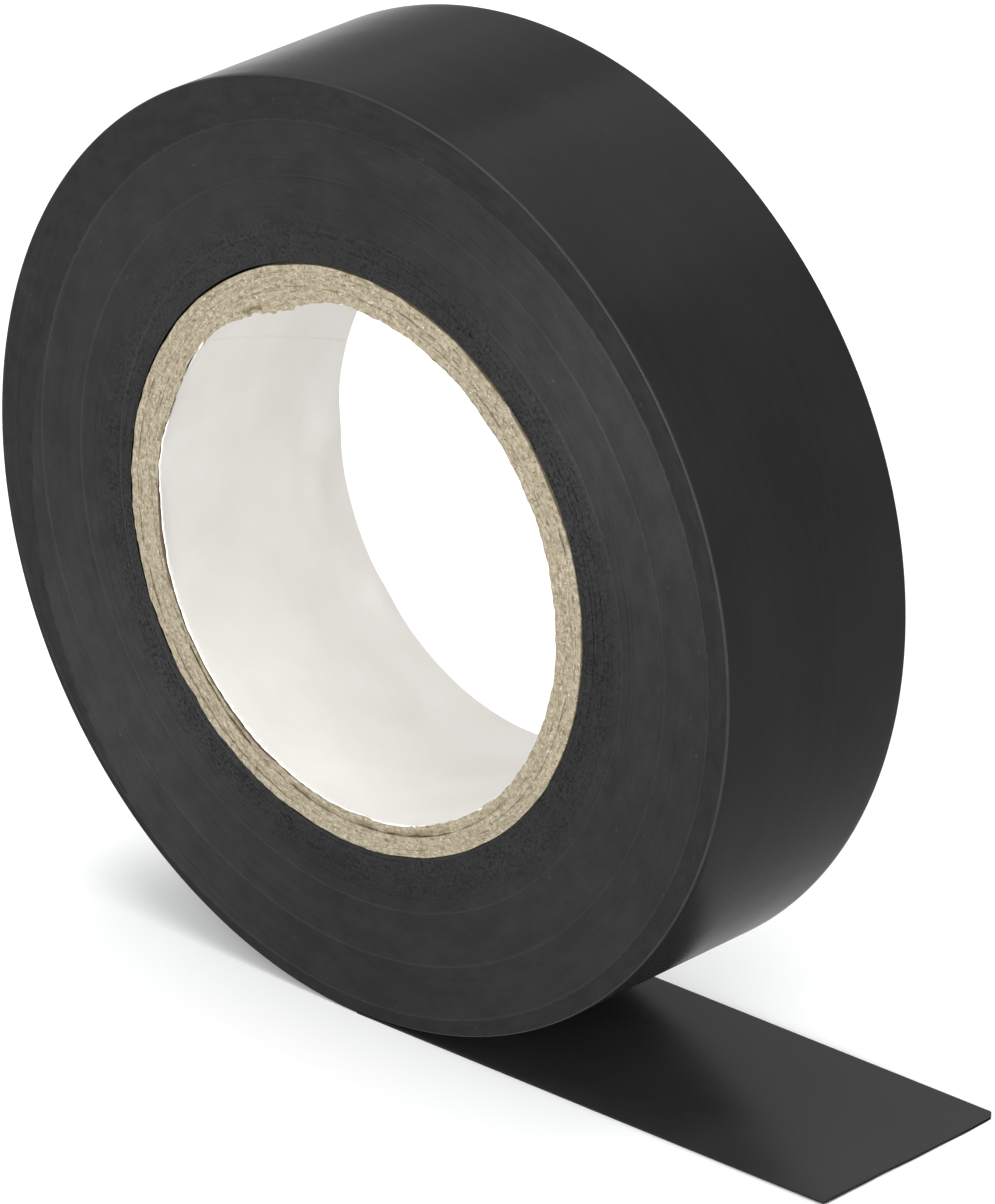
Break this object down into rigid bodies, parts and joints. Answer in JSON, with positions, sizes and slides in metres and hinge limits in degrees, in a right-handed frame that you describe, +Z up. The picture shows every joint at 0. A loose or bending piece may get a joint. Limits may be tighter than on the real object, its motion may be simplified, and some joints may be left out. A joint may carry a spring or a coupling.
{
  "type": "electrical tape roll",
  "caption": "Roll of black PVC electrical tape wound on a short paper core, standing on its rim with a short free end laid flat; the free end curls back onto the roll.",
  "frame": {"origin": "the middle of the flat at the very bottom of the roll, on the surface that the roll stands on, half way across the tape's width", "axes": "+X along the free end of the tape, away from the roll; +Y along the roll's axis, from the front face to the back face; +Z up"},
  "size_m": [0.0648, 0.015, 0.0579],
  "materials": {
    "liner_paper": "matte",
    "greyboard": "matte",
    "wound_tape": "satin",
    "tape_film": "satin"
  },
  "bodies": {
    "roll": {"core_liner": "liner_paper", "core_board_ply_1": "greyboard", "core_board_ply_2": "greyboard", "core_board_ply_3": "greyboard", "core_board_ply_4": "greyboard", "tape_turns_1": "wound_tape", "tape_turns_2": "wound_tape", "tape_turns_3": "wound_tape", "tape_turns_4": "wound_tape", "tape_outer_turn": "tape_film"},
    "tail_1": {"tape_tail_1": "tape_film"},
    "tail_2": {"tape_tail_2": "tape_film"},
    "tail_3": {"tape_tail_3": "tape_film"},
    "tail_4": {"tape_tail_4": "tape_film"},
    "tail_5": {"tape_tail_5": "tape_film"},
    "tail_6": {"tape_tail_6": "tape_film"},
    "tail_7": {"tape_tail_7": "tape_film"},
    "tail_8": {"tape_tail_8": "tape_film"}
  },
  "joints": [
    {"name": "tail_bend_1", "type": "hinge", "parent": "roll", "child": "tail_1", "pos_m": [0.00211, 0, 0.00015], "axis": [0, -1, 0], "range_deg": [0, 8.26]},
    {"name": "tail_bend_2", "type": "hinge", "parent": "tail_1", "child": "tail_2", "pos_m": [0.00632, 0, 0.00015], "axis": [0, -1, 0], "range_deg": [0, 8.26]},
    {"name": "tail_bend_3", "type": "hinge", "parent": "tail_2", "child": "tail_3", "pos_m": [0.01053, 0, 0.00015], "axis": [0, -1, 0], "range_deg": [0, 8.26]},
    {"name": "tail_bend_4", "type": "hinge", "parent": "tail_3", "child": "tail_4", "pos_m": [0.01474, 0, 0.00015], "axis": [0, -1, 0], "range_deg": [0, 8.26]},
    {"name": "tail_bend_5", "type": "hinge", "parent": "tail_4", "child": "tail_5", "pos_m": [0.01895, 0, 0.00015], "axis": [0, -1, 0], "range_deg": [0, 8.26]},
    {"name": "tail_bend_6", "type": "hinge", "parent": "tail_5", "child": "tail_6", "pos_m": [0.02316, 0, 0.00015], "axis": [0, -1, 0], "range_deg": [0, 8.26]},
    {"name": "tail_bend_7", "type": "hinge", "parent": "tail_6", "child": "tail_7", "pos_m": [0.02738, 0, 0.00015], "axis": [0, -1, 0], "range_deg": [0, 8.26]},
    {"name": "tail_bend_8", "type": "hinge", "parent": "tail_7", "child": "tail_8", "pos_m": [0.03159, 0, 0.00015], "axis": [0, -1, 0], "range_deg": [0, 8.26]}
  ],
  "couplings": [
    {"joint": "tail_bend_2", "follows": "tail_bend_1", "ratio": 1},
    {"joint": "tail_bend_3", "follows": "tail_bend_1", "ratio": 1},
    {"joint": "tail_bend_4", "follows": "tail_bend_1", "ratio": 1},
    {"joint": "tail_bend_5", "follows": "tail_bend_1", "ratio": 1},
    {"joint": "tail_bend_6", "follows": "tail_bend_1", "ratio": 1},
    {"joint": "tail_bend_7", "follows": "tail_bend_1", "ratio": 1},
    {"joint": "tail_bend_8", "follows": "tail_bend_1", "ratio": 1}
  ]
}
